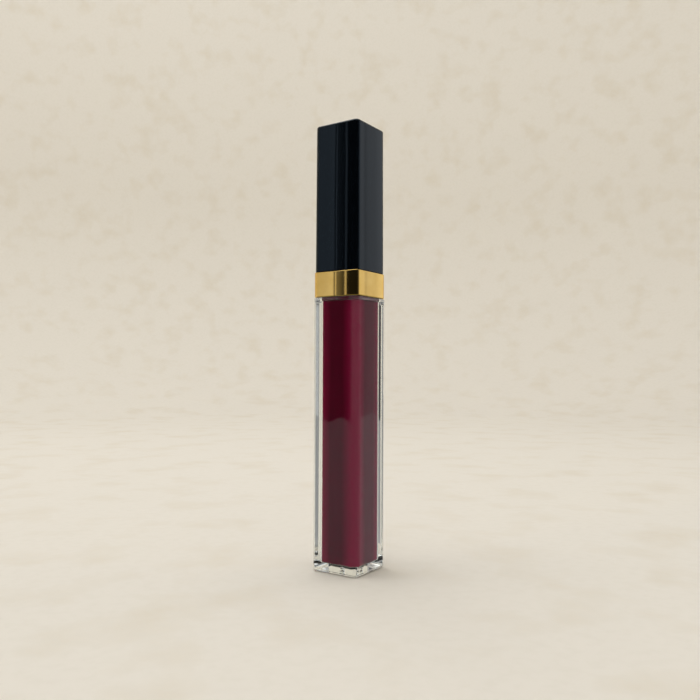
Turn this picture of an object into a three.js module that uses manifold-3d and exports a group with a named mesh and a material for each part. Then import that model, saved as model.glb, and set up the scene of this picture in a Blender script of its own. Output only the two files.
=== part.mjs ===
// A lip gloss tube: a heavy-walled clear square bottle with a threaded neck, and a square cap that
// carries a wand with a flocked doe-foot tip. Millimetres, +Z up along the tube, origin at the
// centre of the underside. Every piece is modelled in its place with the cap closed.
import * as THREE from "three";
import { mergeVertices } from "three/addons/utils/BufferGeometryUtils.js";
import Module from "manifold-3d";

const wasm = await Module();
wasm.setup();

// ---- Driving dimensions ------------------------------------------------------------------------

// Clearances
const SEAM = 0.1; // between faces that are welded, glued or seated on each other
const FIT = 0.05; // radial, between a piece and the hole or cavity it is pressed into
const TURN_GAP = 0.15; // radial, between pieces that turn or slide past each other

// Bottle
const BODY_SIDE = 13.8;
const BODY_CORNER = 1.4; // radius of the upright edges
const BODY_WALL = 1.75;
const BODY_HEIGHT = 70; // underside to the rim
const BASE_THICKNESS = 2.2;
const FOOT_RADIUS = 0.9; // rounding round the underside
const RIM_RADIUS = 0.2; // rounding round the rim
const CAVITY_CORNER = 1.2; // well rounded, so the gloss shows right into the corners
const REBATE_DEPTH = 0.8; // step inside the rim that the neck's flange is welded into
const REBATE_REACH = 0.5; // how far the step goes out from the cavity's wall
const GATE_RADIUS = 0.7; // moulding gate, a dimple in the middle of the underside
const GATE_DEPTH = 1;

// Neck
const FLANGE_WEB = 0.25; // closes the flange at its corners, level with the rim
const BOSS_HEIGHT = 1.1; // round boss between the flange and the neck
const BOSS_WALL = 0.6;
const BOSS_WEB = 0.6; // closes the boss over its hollow
const BOSS_GAP = 0.3; // radial, from the boss to the cap that turns round it
const NECK_HEIGHT = 8.9; // above the boss
const NECK_WALL = 0.9; // at the root of its thread
const THREAD_PITCH = 2.5;
const THREAD_TURNS = 1.5;
const THREAD_DEPTH = 0.45;
const THREAD_WIDTH = 1.1; // at its root
const THREAD_START = 1.2; // first turn above the boss

// Wiper
const WIPER_WALL = 0.55;
const WIPER_FLANGE = 0.5; // thickness of the flange that sits on the neck
const WIPER_FLANGE_REACH = 0.7; // how far that flange reaches over the neck's rim
const WIPER_LENGTH = 8.5; // below the flange
const LIP_LENGTH = 2;
const LIP_THICKNESS = 0.35;
const LIP_REACH = 0.65; // how far the stripping lip reaches in from the wiper's bore

// Wand
const STEM_RADIUS = 1.7;
const STEM_FLANGE_REACH = 0.9;
const STEM_FLANGE = 0.75;
const STEM_SOCKET_DEPTH = 6; // how deep the stem goes into the cap liner
const BARB_HEIGHT = 0.9;
const BARB_GRIP = 0.12; // how much the barbed neck is turned down below the stem
const SHANK_RADIUS = 0.9; // of the applicator, inside the stem
const SHANK_LENGTH = 5;
const TIP_CLEARANCE = 4; // applicator tip above the floor of the cavity
const FLOCK_LENGTH = 14.5;
const FLOCK_THICKNESS = 0.35;
const PADDLE_WIDTH = 4; // across the flocked doe-foot
const PADDLE_DEPTH = 2.7;

// Gloss
const FILL_HEADROOM = 0.1; // below the neck
const WAND_BORE_REACH = 0.35; // how far the bore in the gloss clears the doe-foot
const BORE_BELOW_TIP = 1;

// Cap
const CAP_HEIGHT = 43.9; // bottom of the collar to the top of the cap
const CAP_TAPER = 0.25; // how much narrower the cap is at its top than at the collar
const CAP_CORNER = 1.4;
const CAP_TOP_RADIUS = 0.5; // rounding round the top face
const CAP_TOP_THICKNESS = 1.7;
const SHELL_WALL = 0.85; // above the collar
const SHELL_INNER_CORNER = 0.6;
const POST_RADIUS = 2.4; // hollow post under the top face that holds the weight down
const POST_WALL = 0.8;
const FIN_THICKNESS = 0.8;
const FIN_REACH = 4.6; // of the four fins that stiffen the post
const COLLAR_PROUD = 0.2; // how far the collar stands out from the cap
const COLLAR_CORNER = 1.5;
const COLLAR_WALL = 0.45;
const COLLAR_HEIGHT = 6.4;
const COLLAR_LIP = 0.3; // thickness of the lip rolled in under the shell
const COLLAR_LIP_REACH = 0.4;
const COLLAR_CHAMFER = 0.15;

// Cap liner, seal and weight
const LINER_WALL = 0.4; // at the root of its thread
const LINER_CEILING = 1.6;
const LINER_RIB_THICKNESS = 1;
const LINER_RIB_GAP = 0.4; // between a rib and the shell's inner corner
const LINER_SOCKET_WALL = 1.3;
const LINER_CUP_WALL = 0.55;
const LEAD_IN = 0.25; // chamfer at the liner's mouth
const SEAL_THICKNESS = 0.8;
const WEIGHT_LENGTH = 11;
const WEIGHT_CHAMFER = 0.4;

// Fineness
const ROUND_STEPS = 40; // facets round a turned piece
const CORNER_STEPS = 6; // facets in a quarter-round corner
const EDGE_STEPS = 4; // facets in a rounded edge
const THREAD_STEPS = 32; // facets in one turn of thread
const BITE = 0.2; // how far joined shapes reach into each other

// ---- Derived heights ---------------------------------------------------------------------------

const rebateFloor = BODY_HEIGHT - REBATE_DEPTH;
const neckFlangeBottom = rebateFloor + SEAM;
const flangeHollowTop = BODY_HEIGHT - FLANGE_WEB;
const bossTop = BODY_HEIGHT + BOSS_HEIGHT;
const hollowTop = bossTop - BOSS_WEB;
const neckTop = bossTop + NECK_HEIGHT;
const wiperFlangeTop = neckTop + SEAM + WIPER_FLANGE;
const sealBottom = wiperFlangeTop + SEAM;
const ceilingBottom = sealBottom + SEAL_THICKNESS + SEAM;
const ceilingTop = ceilingBottom + LINER_CEILING;
const stemTop = ceilingTop + STEM_SOCKET_DEPTH - SEAM;
const weightBottom = ceilingTop + STEM_SOCKET_DEPTH + SEAM;
const weightTop = weightBottom + WEIGHT_LENGTH;
const collarBottom = BODY_HEIGHT + SEAM;
const collarTop = collarBottom + COLLAR_HEIGHT;
const shellBottom = collarBottom + COLLAR_LIP + SEAM;
const shellStep = collarTop + SEAM;
const linerMouth = bossTop + SEAM;
const capTop = collarBottom + CAP_HEIGHT;
const tipBottom = BASE_THICKNESS + TIP_CLEARANCE;
const flockTop = tipBottom + FLOCK_LENGTH;
const stemBottom = flockTop + SEAM;

// ---- Derived widths ----------------------------------------------------------------------------

const cavitySide = BODY_SIDE - 2 * BODY_WALL;
const rebateSide = cavitySide + 2 * REBATE_REACH;
const rebateCorner = CAVITY_CORNER + REBATE_REACH;
const tipReach = PADDLE_WIDTH / 2; // furthest that the doe-foot reaches from the axis
const orifice = Math.max(tipReach, STEM_RADIUS) + TURN_GAP;
const wiperBore = orifice + LIP_REACH;
const wiperRadius = wiperBore + WIPER_WALL;
const neckBore = wiperRadius + FIT;
const neckRadius = neckBore + NECK_WALL;
const threadCrest = neckRadius + THREAD_DEPTH;
const stemFlangeRadius = STEM_RADIUS + STEM_FLANGE_REACH;
const linerThreadCrest = threadCrest + TURN_GAP;
const linerBore = linerThreadCrest + THREAD_DEPTH;
const linerRadius = linerBore + LINER_WALL;
const cupBore = linerRadius - LINER_CUP_WALL;
const weightRadius = cupBore - SEAM;
const shellInnerSide = 2 * (linerRadius + SEAM);
const capSide = shellInnerSide + 2 * SHELL_WALL;
const capTopSide = capSide - CAP_TAPER;
const bossRadius = Math.min(rebateSide / 2 - FIT, shellInnerSide / 2 - BOSS_GAP);
const hollowRadius = Math.min(cavitySide / 2, bossRadius - BOSS_WALL);
const collarSide = capSide + 2 * COLLAR_PROUD;
const skirtSide = collarSide - 2 * (COLLAR_WALL + SEAM);
const skirtCorner = COLLAR_CORNER - COLLAR_WALL - SEAM;

// ---- Shape helpers -----------------------------------------------------------------------------

// A manifold-3d solid from a closed three.js geometry.
function solid(geometry) {
  const bare = new THREE.BufferGeometry();
  const source = geometry.index ? geometry.toNonIndexed() : geometry;
  bare.setAttribute("position", source.getAttribute("position"));
  const merged = mergeVertices(bare, 1e-4);
  return new wasm.Manifold(
    new wasm.Mesh({
      numProp: 3,
      vertProperties: new Float32Array(merged.attributes.position.array),
      triVerts: new Uint32Array(merged.index.array),
    }),
  );
}

// A three.js geometry from a manifold-3d solid.
function geometryOf(shape) {
  const mesh = shape.getMesh();
  const geometry = new THREE.BufferGeometry();
  geometry.setAttribute("position", new THREE.BufferAttribute(mesh.vertProperties, 3));
  geometry.setIndex(new THREE.BufferAttribute(mesh.triVerts, 1));
  geometry.computeVertexNormals();
  return geometry;
}

// Joins the sections of a solid, each a ring of the same number of points, and closes both ends.
function loft(rings) {
  const count = rings[0].length;
  const points = rings.flat();
  const faces = [];
  for (let i = 0; i + 1 < rings.length; i++) {
    for (let j = 0; j < count; j++) {
      const a = i * count + j;
      const b = i * count + ((j + 1) % count);
      faces.push(a, b, b + count, a, b + count, a + count);
    }
  }
  const last = (rings.length - 1) * count;
  for (let j = 1; j + 1 < count; j++) {
    faces.push(0, j + 1, j, last, last + j, last + j + 1);
  }
  const geometry = new THREE.BufferGeometry().setFromPoints(points);
  geometry.setIndex(faces);
  return solid(geometry);
}

// One ring of a square section with rounded corners, at height z.
function squareRing(side, corner, z) {
  const shape = new THREE.Shape();
  const inset = side / 2 - corner;
  const quarter = Math.PI / 2;
  const centres = [[inset, inset], [-inset, inset], [-inset, -inset], [inset, -inset]];
  centres.forEach(([x, y], i) => shape.absarc(x, y, corner, i * quarter, (i + 1) * quarter));
  return shape.getPoints(CORNER_STEPS).slice(0, -1).map((p) => new THREE.Vector3(p.x, p.y, z));
}

// A square bar with rounded corners. Each section is [side, corner, z], from the bottom up.
function squareBar(...sections) {
  return loft(sections.map(([side, corner, z]) => squareRing(side, corner, z)));
}

// Sections for a rounded edge of that radius. It ends at height z, above a section when up is 1
// and below one when up is -1, and they come in the order from the bottom up.
function roundedEdge(side, corner, z, radius, up) {
  const sections = [];
  for (let i = 0; i <= EDGE_STEPS; i++) {
    const angle = (i / EDGE_STEPS) * (Math.PI / 2);
    const inset = radius * (1 - Math.cos(angle));
    sections.push([side - 2 * inset, corner - inset, z - up * radius * (1 - Math.sin(angle))]);
  }
  return up > 0 ? sections : sections.reverse();
}

// A turned solid from its outline, [radius, z] points counter-clockwise round the half section.
function turned(...outline) {
  const points = [...outline, outline[0]].map(([radius, z]) => new THREE.Vector2(radius, z));
  return solid(new THREE.LatheGeometry(points, ROUND_STEPS).rotateX(Math.PI / 2));
}

// A plain round bar or bore between two heights.
function bar(radius, bottom, top) {
  return turned([0, bottom], [radius, bottom], [radius, top], [0, top]);
}

// An upright box, centred on the axis before it is turned about it.
function fin(length, thickness, bottom, top, turn) {
  const box = new THREE.BoxGeometry(length, thickness, top - bottom);
  box.translate(0, 0, (bottom + top) / 2);
  return solid(box.rotateZ(turn));
}

// A helical ridge of trapezoid section, right-handed. Its root is at one radius and its crest at
// another, so it stands out from a neck or in from a bore, and it fades in and out at its ends.
function ridge(root, crest, bottom) {
  const steps = Math.round(THREAD_TURNS * THREAD_STEPS);
  const bite = Math.sign(crest - root) * BITE;
  const rings = [];
  for (let i = 0; i <= steps; i++) {
    const share = i / steps;
    const angle = share * THREAD_TURNS * 2 * Math.PI;
    const z = bottom + share * THREAD_TURNS * THREAD_PITCH;
    const fade = Math.min(1, 8 * share + 0.02, 8 * (1 - share) + 0.02);
    const top = root + (crest - root) * fade;
    const wide = THREAD_WIDTH / 2;
    const narrow = wide / 2;
    const section = [[root - bite, z - wide], [top, z - narrow], [top, z + narrow], [root - bite, z + wide]];
    const ring = section.map(
      ([r, h]) => new THREE.Vector3(r * Math.cos(angle), r * Math.sin(angle), h),
    );
    rings.push(crest > root ? ring.reverse() : ring);
  }
  return loft(rings);
}

// ---- Bottle ------------------------------------------------------------------------------------

// Heavy-walled square tumbler, open at the top, with a step inside its rim for the neck and the
// moulding gate's dimple underneath.
function bottleBody() {
  const outside = squareBar(
    ...roundedEdge(BODY_SIDE, BODY_CORNER, 0, FOOT_RADIUS, -1),
    ...roundedEdge(BODY_SIDE, BODY_CORNER, BODY_HEIGHT, RIM_RADIUS, 1),
  );
  const cavity = squareBar(
    [cavitySide, CAVITY_CORNER, BASE_THICKNESS],
    [cavitySide, CAVITY_CORNER, BODY_HEIGHT + BITE],
  );
  const rebate = squareBar(
    [rebateSide, rebateCorner, rebateFloor],
    [rebateSide, rebateCorner, BODY_HEIGHT + BITE],
  );
  const gate = bar(GATE_RADIUS, -BITE, GATE_DEPTH);
  return outside.subtract(cavity).subtract(rebate).subtract(gate);
}

// Hollow square flange welded into the bottle's rim, with a hollow round boss on it that carries
// the threaded neck. The boss is round so that the cap can turn over it.
function neckInsert() {
  const side = rebateSide - 2 * FIT;
  const corner = rebateCorner - FIT;
  const flange = squareBar([side, corner, neckFlangeBottom], [side, corner, BODY_HEIGHT]);
  const flangeHollow = squareBar(
    [cavitySide, CAVITY_CORNER, neckFlangeBottom - BITE],
    [cavitySide, CAVITY_CORNER, flangeHollowTop],
  );
  const boss = bar(bossRadius, flangeHollowTop, bossTop);
  const bossHollow = bar(hollowRadius, flangeHollowTop - BITE, hollowTop);
  const neck = bar(neckRadius, bossTop - BITE, neckTop);
  const thread = ridge(neckRadius, threadCrest, bossTop + THREAD_START);
  const bore = bar(neckBore, hollowTop - BITE, neckTop + BITE);
  return flange.add(boss).add(neck).add(thread)
    .subtract(flangeHollow).subtract(bossHollow).subtract(bore);
}

// Soft plug in the neck whose lip strips the wand as it is drawn out.
function wiper() {
  const flange = neckBore + WIPER_FLANGE_REACH;
  const flangeBottom = neckTop + SEAM;
  const bottom = flangeBottom - WIPER_LENGTH;
  const lipTop = bottom + LIP_LENGTH;
  return turned(
    [orifice, bottom],
    [orifice + LIP_THICKNESS, bottom],
    [wiperRadius, lipTop],
    [wiperRadius, flangeBottom],
    [flange, flangeBottom],
    [flange, wiperFlangeTop],
    [wiperBore, wiperFlangeTop],
    [wiperBore, lipTop],
  );
}

// The gloss, which fills the bottle and the hollow of the neck, with the bore that the wand
// stands in.
function glossFill() {
  const side = cavitySide - 2 * FIT;
  const corner = CAVITY_CORNER - FIT;
  const shoulder = flangeHollowTop - FILL_HEADROOM;
  const top = hollowTop - FILL_HEADROOM;
  const body = squareBar([side, corner, BASE_THICKNESS + FIT], [side, corner, shoulder]);
  const head = bar(hollowRadius - FIT, shoulder - BITE, top);
  const bore = bar(tipReach + WAND_BORE_REACH, tipBottom - BORE_BELOW_TIP, top + BITE);
  return body.add(head).subtract(bore);
}

// ---- Cap ---------------------------------------------------------------------------------------

// Square outer shell with a stepped skirt for the collar, and a post that holds the weight down.
function capShell() {
  const outside = squareBar(
    [capSide, CAP_CORNER, shellStep],
    ...roundedEdge(capTopSide, CAP_CORNER, capTop, CAP_TOP_RADIUS, 1),
  );
  const skirt = squareBar([skirtSide, skirtCorner, shellBottom], [skirtSide, skirtCorner, shellStep + BITE]);
  const ceiling = capTop - CAP_TOP_THICKNESS;
  const inside = squareBar(
    [shellInnerSide, SHELL_INNER_CORNER, shellBottom - BITE],
    [shellInnerSide, SHELL_INNER_CORNER, ceiling],
  );
  const postBottom = weightTop + SEAM;
  let post = bar(POST_RADIUS, postBottom, ceiling + BITE);
  for (const turn of [0, Math.PI / 2]) {
    post = post.add(fin(2 * FIN_REACH, FIN_THICKNESS, postBottom, ceiling + BITE, turn));
  }
  const postBore = bar(POST_RADIUS - POST_WALL, postBottom - BITE, ceiling);
  return outside.add(skirt).subtract(inside).add(post.subtract(postBore));
}

// Bright metal band slid over the skirt and rolled in under it.
function collarBand() {
  const inner = collarSide - 2 * COLLAR_WALL;
  const innerCorner = COLLAR_CORNER - COLLAR_WALL;
  const lip = inner - 2 * COLLAR_LIP_REACH;
  const small = [collarSide - 2 * COLLAR_CHAMFER, COLLAR_CORNER - COLLAR_CHAMFER];
  const outside = squareBar(
    [...small, collarBottom],
    [collarSide, COLLAR_CORNER, collarBottom + COLLAR_CHAMFER],
    [collarSide, COLLAR_CORNER, collarTop - COLLAR_CHAMFER],
    [...small, collarTop],
  );
  const inside = squareBar(
    [inner, innerCorner, collarBottom + COLLAR_LIP],
    [inner, innerCorner, collarTop + BITE],
  );
  const mouth = squareBar(
    [lip, innerCorner - COLLAR_LIP_REACH, collarBottom - BITE],
    [lip, innerCorner - COLLAR_LIP_REACH, collarBottom + COLLAR_LIP + BITE],
  );
  return outside.subtract(inside).subtract(mouth);
}

// Inner cap: thread for the neck below its ceiling, and the stem's socket and weight cup above it.
function capLiner() {
  const outside = turned(
    [0, linerMouth],
    [linerRadius, linerMouth],
    [linerRadius, weightTop],
    [cupBore, weightTop],
    [cupBore, ceilingTop],
    [0, ceilingTop],
  );
  const ribReach = shellInnerSide / 2 - SHELL_INNER_CORNER;
  const ribLength = 2 * (ribReach * Math.SQRT2 + SHELL_INNER_CORNER - LINER_RIB_GAP);
  let body = outside;
  for (const turn of [Math.PI / 4, -Math.PI / 4]) {
    body = body.add(fin(ribLength, LINER_RIB_THICKNESS, linerMouth, ceilingTop, turn));
  }
  const bore = turned(
    [0, linerMouth - BITE],
    [linerBore + LEAD_IN, linerMouth - BITE],
    [linerBore + LEAD_IN, linerMouth],
    [linerBore, linerMouth + LEAD_IN],
    [linerBore, ceilingBottom],
    [0, ceilingBottom],
  );
  const socket = bar(STEM_RADIUS + LINER_SOCKET_WALL, ceilingTop - BITE, ceilingTop + STEM_SOCKET_DEPTH);
  const socketBore = bar(STEM_RADIUS + FIT, ceilingBottom - BITE, ceilingTop + STEM_SOCKET_DEPTH + BITE);
  const grooveOffset = THREAD_PITCH / 2; // the liner's ridge runs half way between the neck's turns
  const thread = ridge(linerBore, linerThreadCrest, bossTop + THREAD_START + grooveOffset);
  return body.subtract(bore).add(socket).subtract(socketBore).add(thread);
}

// Washer under the liner's ceiling that closes on the wiper's flange.
function sealWasher() {
  const inner = stemFlangeRadius + TURN_GAP;
  const outer = linerThreadCrest - TURN_GAP;
  const top = sealBottom + SEAL_THICKNESS;
  return turned([inner, sealBottom], [outer, sealBottom], [outer, top], [inner, top]);
}

// Steel slug that gives the cap its weight.
function capWeight() {
  const edge = weightRadius - WEIGHT_CHAMFER;
  return turned(
    [0, weightBottom],
    [edge, weightBottom],
    [weightRadius, weightBottom + WEIGHT_CHAMFER],
    [weightRadius, weightTop - WEIGHT_CHAMFER],
    [edge, weightTop],
    [0, weightTop],
  );
}

// ---- Wand --------------------------------------------------------------------------------------

// Rod with a stop flange and a barbed end in the liner, and a socket for the applicator's shank.
function wandStem() {
  const flangeTop = ceilingBottom - FIT;
  const flangeBottom = flangeTop - STEM_FLANGE;
  const waist = STEM_RADIUS - BARB_GRIP;
  const socketTop = stemBottom + SHANK_LENGTH + SEAM;
  const outline = [
    [0, socketTop],
    [SHANK_RADIUS + FIT, socketTop],
    [SHANK_RADIUS + FIT, stemBottom],
    [STEM_RADIUS, stemBottom],
    [STEM_RADIUS, flangeBottom],
    [stemFlangeRadius, flangeBottom],
    [stemFlangeRadius, flangeTop],
    [STEM_RADIUS, flangeTop],
    [STEM_RADIUS, ceilingTop],
  ];
  for (let z = ceilingTop + BARB_HEIGHT; z < stemTop - BARB_HEIGHT; z += 2 * BARB_HEIGHT) {
    outline.push([waist, z], [STEM_RADIUS, z], [STEM_RADIUS, z + BARB_HEIGHT]);
  }
  return turned(...outline, [waist, stemTop], [0, stemTop]);
}

// Doe-foot: an oval bar that swells, then slants off to a rounded tip on one side. inset is how
// far the surface lies inside the flocked one, and top is the height it ends at.
function doeFoot(inset, top) {
  const count = 24;
  const rings = [];
  const bottom = tipBottom + inset;
  const length = top - bottom;
  const steps = 14;
  for (let i = 0; i <= steps; i++) {
    const share = i / steps; // from the tip up
    const dome = Math.sqrt(1 - (1 - Math.min(1, share * 3.2 + 0.02)) ** 2);
    const neck = 1 - 0.28 * THREE.MathUtils.smoothstep(share, 0.55, 1);
    const slant = 0.55 * (1 - THREE.MathUtils.smoothstep(share, 0, 0.6));
    const halfWidth = Math.max(0.1, (PADDLE_WIDTH / 2) * dome * neck - inset);
    const halfDepth = Math.max(0.1, (PADDLE_DEPTH / 2) * dome * (1 - slant * 0.5) - inset);
    const ring = [];
    for (let j = 0; j < count; j++) {
      const angle = (j / count) * 2 * Math.PI;
      ring.push(
        new THREE.Vector3(
          halfWidth * Math.cos(angle),
          halfDepth * Math.sin(angle) - slant * PADDLE_DEPTH * 0.25,
          bottom + share ** 1.5 * length,
        ),
      );
    }
    rings.push(ring);
  }
  return loft(rings);
}

// Flexible core, with a round shank pressed into the stem.
function applicatorCore() {
  return doeFoot(FLOCK_THICKNESS + SEAM, flockTop)
    .add(bar(SHANK_RADIUS, flockTop - 2 * BITE, stemBottom + SHANK_LENGTH));
}

// Coat of short fibres round the core, open where the shank leaves it.
function applicatorFlock() {
  return doeFoot(0, flockTop).subtract(doeFoot(FLOCK_THICKNESS, flockTop + BITE));
}

// ---- Assembly ----------------------------------------------------------------------------------

const clearPlastic = { color: 0xe9eeec, roughness: 0.05, metalness: 0, transparent: true, opacity: 0.35 };
const blackPlastic = { color: 0x050608, roughness: 0.08, metalness: 0 };
const goldMetal = { color: 0xd9b45c, roughness: 0.12, metalness: 1 };
const gloss = { color: 0x6b0a1e, roughness: 0.1, metalness: 0 };
const whitePlastic = { color: 0xe4e6e4, roughness: 0.45, metalness: 0 };
const softPlastic = { color: 0xdfe3e1, roughness: 0.5, metalness: 0 };
const steel = { color: 0x9a9c9e, roughness: 0.35, metalness: 1 };
const fibre = { color: 0x7c2233, roughness: 0.95, metalness: 0 };

const pieces = [
  ["bottle_body", bottleBody, clearPlastic],
  ["neck_insert", neckInsert, clearPlastic],
  ["wiper", wiper, softPlastic],
  ["gloss_fill", glossFill, gloss],
  ["seal_washer", sealWasher, softPlastic],
  ["cap_shell", capShell, blackPlastic],
  ["collar_band", collarBand, goldMetal],
  ["cap_liner", capLiner, whitePlastic],
  ["cap_weight", capWeight, steel],
  ["wand_stem", wandStem, blackPlastic],
  ["applicator_core", applicatorCore, softPlastic],
  ["applicator_flock", applicatorFlock, fibre],
];

const tube = new THREE.Group();
tube.name = "lip_gloss_tube";
for (const [name, make, finish] of pieces) {
  const mesh = new THREE.Mesh(geometryOf(make()), new THREE.MeshStandardMaterial(finish));
  mesh.name = name;
  tube.add(mesh);
}

export default tube;
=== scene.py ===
import math

import bmesh
import bpy
from mathutils import Matrix, Vector


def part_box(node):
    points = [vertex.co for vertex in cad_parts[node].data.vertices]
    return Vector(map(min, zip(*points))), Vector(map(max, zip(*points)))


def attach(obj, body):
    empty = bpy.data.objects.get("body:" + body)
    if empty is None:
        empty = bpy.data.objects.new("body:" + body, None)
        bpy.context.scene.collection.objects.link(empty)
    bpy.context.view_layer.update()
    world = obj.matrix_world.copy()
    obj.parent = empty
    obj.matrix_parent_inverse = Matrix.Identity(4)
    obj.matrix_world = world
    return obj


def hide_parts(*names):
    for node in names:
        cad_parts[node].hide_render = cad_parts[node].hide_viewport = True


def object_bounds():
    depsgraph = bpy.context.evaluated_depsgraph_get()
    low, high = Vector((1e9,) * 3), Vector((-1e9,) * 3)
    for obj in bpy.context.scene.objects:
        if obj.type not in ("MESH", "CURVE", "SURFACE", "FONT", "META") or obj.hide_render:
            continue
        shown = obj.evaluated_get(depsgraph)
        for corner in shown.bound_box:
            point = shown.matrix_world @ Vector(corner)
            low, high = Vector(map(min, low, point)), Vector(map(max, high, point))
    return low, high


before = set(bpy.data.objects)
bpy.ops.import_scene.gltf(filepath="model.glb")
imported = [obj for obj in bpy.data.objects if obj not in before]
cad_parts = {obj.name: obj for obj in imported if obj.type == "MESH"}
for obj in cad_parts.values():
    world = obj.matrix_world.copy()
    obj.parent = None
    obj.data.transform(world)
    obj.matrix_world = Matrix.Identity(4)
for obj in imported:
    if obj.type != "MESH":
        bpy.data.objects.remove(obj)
cad_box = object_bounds()

# ---- Bottle ------------------------------------------------------------------------------------
# A square tumbler with heavy walls and a heavy base, injection-moulded in clear acrylic. Its gate
# leaves a small dimple under the base. Every edge is rounded, so light bends round its outline.

MM = 0.001
FILLET_STEPS = 6
CORNER_STEPS = 12
SIDE_STEPS = 20
ROUND_STEPS = 96
HOLD = 0.04 * MM  # width of the flat edge strip that keeps a face's shading flat up to its rounding


def rounded(outline):
    """An outline of (reach, z, corner, fillet) points, each fillet turned into an arc.

    reach is the half width there, corner the radius of the upright edges. The arc stays at one
    distance from the next section, so its corner radius changes as much as its reach does.
    """
    result = []
    last = len(outline) - 1
    for i, (x, z, corner, fillet) in enumerate(outline):
        if fillet == 0 or i in (0, last):
            result.append((x, z, corner))
            continue
        here = Vector((x, z))
        back = (Vector(outline[i - 1][:2]) - here).normalized()
        ahead = (Vector(outline[i + 1][:2]) - here).normalized()
        half_angle = back.angle(ahead) / 2
        reach = fillet / math.tan(half_angle)
        centre = here + (back + ahead).normalized() * (fillet / math.sin(half_angle))
        first = here + back * reach - centre
        sweep_angle = first.angle_signed(here + ahead * reach - centre)
        points = [here + back * (reach + HOLD)]
        for step in range(FILLET_STEPS + 1):
            turn = Matrix.Rotation(-sweep_angle * step / FILLET_STEPS, 2)
            points.append(centre + turn @ first)
        points.append(here + ahead * (reach + HOLD))
        result.extend((p.x, p.y, max(corner + p.x - x, 0.05 * MM)) for p in points)
    return result


def square_ring(x, z, corner, bow=0.0):
    """Points round a square section with rounded corners, whose sides swell by bow.

    A section whose corner is its whole reach is a circle, with its points at the same headings as
    on the bottle's outside, so that it can follow a square section.
    """
    if corner > x * 0.999:
        around = square_ring(BODY_HALF, z, BODY_CORNER)
        return [Vector((p.x, p.y, 0)).normalized() * x + Vector((0, 0, z)) for p in around]
    flat = x - corner
    points = []
    for quarter in range(4):
        turn = Matrix.Rotation(quarter * math.pi / 2, 3, "Z")
        for step in range(1, SIDE_STEPS):
            share = -math.cos(math.pi * step / SIDE_STEPS)
            points.append(turn @ Vector((x - bow * share * share, flat * share, z)))
        for step in range(CORNER_STEPS + 1):
            angle = math.pi / 2 * step / CORNER_STEPS
            out = Vector((math.cos(angle), math.sin(angle), 0)) * corner
            points.append(turn @ (Vector((flat - bow, flat - bow, z)) + out))
    return points


def round_ring(x, z, corner):
    """Points round a turned section."""
    angles = [2 * math.pi * step / ROUND_STEPS for step in range(ROUND_STEPS)]
    return [Vector((x * math.cos(angle), x * math.sin(angle), z)) for angle in angles]


def swept(name, outline, ring=square_ring, closed=False):
    """A closed piece from its rounded outline: ring makes each section, and closed joins the last
    section to the first, where otherwise each end is a flat face."""
    mesh = bmesh.new()
    rings = [[mesh.verts.new(p) for p in ring(*section)] for section in rounded(outline)]
    count = len(rings[0])
    for lower, upper in zip(rings, rings[1:] + rings[:1] if closed else rings[1:]):
        for j in range(count):
            k = (j + 1) % count
            mesh.faces.new((lower[j], lower[k], upper[k], upper[j]))
    if not closed:
        mesh.faces.new(rings[0])
        mesh.faces.new(rings[-1])
    return finished(name, mesh)


def finished(name, mesh):
    """A Blender object from a closed bmesh, with its faces outwards and smooth up to its edges."""
    bmesh.ops.remove_doubles(mesh, verts=mesh.verts, dist=1e-7)
    bmesh.ops.recalc_face_normals(mesh, faces=mesh.faces)
    if mesh.calc_volume(signed=True) < 0:
        bmesh.ops.reverse_faces(mesh, faces=mesh.faces)
    data = bpy.data.meshes.new(name)
    mesh.to_mesh(data)
    mesh.free()
    data.shade_smooth()
    data.set_sharp_from_angle(angle=math.radians(40))
    piece = bpy.data.objects.new(name, data)
    bpy.context.scene.collection.objects.link(piece)
    return piece


def srgb(code):
    """A linear colour from an sRGB hex value."""
    values = [int(code[i : i + 2], 16) / 255 for i in (0, 2, 4)]
    linear = [v / 12.92 if v <= 0.04045 else ((v + 0.055) / 1.055) ** 2.4 for v in values]
    return (*linear, 1.0)


def add_node(tree, kind, settings=None, inputs=None, **links):
    """Adds a node to a tree, with its settings, its inputs' values, and links into its inputs."""
    node = tree.nodes.new(kind)
    for key, value in (settings or {}).items():
        setattr(node, key, value)
    for key, value in (inputs or {}).items():
        node.inputs[key].default_value = value
    for key, source in links.items():
        name = key.replace("_", " ")
        target = node.inputs[name] if name in node.inputs else node.inputs[int(key[1:])]
        tree.links.new(source, target)
    return node


def finish_of(name, **values):
    """A new material and its Principled shader, with plain values on the shader's sockets."""
    material = bpy.data.materials.new(name)
    material.use_nodes = True
    shader = material.node_tree.nodes["Principled BSDF"]
    for key, value in values.items():
        shader.inputs[key.replace("_", " ")].default_value = value
    return material, material.node_tree, shader


def noise(tree, size, detail=2.0, stretch=(1, 1, 1)):
    """Noise on Object coordinates, whose grains are about size across."""
    place = add_node(tree, "ShaderNodeTexCoord")
    scaled = add_node(
        tree,
        "ShaderNodeMapping",
        {"vector_type": "POINT"},
        {"Scale": stretch},
        Vector=place.outputs["Object"],
    )
    return add_node(
        tree,
        "ShaderNodeTexNoise",
        None,
        {"Scale": 1 / size, "Detail": detail},
        Vector=scaled.outputs["Vector"],
    ).outputs["Fac"]


def ranged(tree, source, low, high, start=0.3, end=0.7):
    """Maps a value between start and end to between low and high."""
    return add_node(
        tree,
        "ShaderNodeMapRange",
        None,
        {"From Min": start, "From Max": end, "To Min": low, "To Max": high},
        Value=source,
    ).outputs["Result"]


def roughened(tree, shader, source, low, high, start=0.3, end=0.7):
    """Maps a value between start and end to a shader's roughness, from low to high."""
    tree.links.new(ranged(tree, source, low, high, start, end), shader.inputs["Roughness"])


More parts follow.
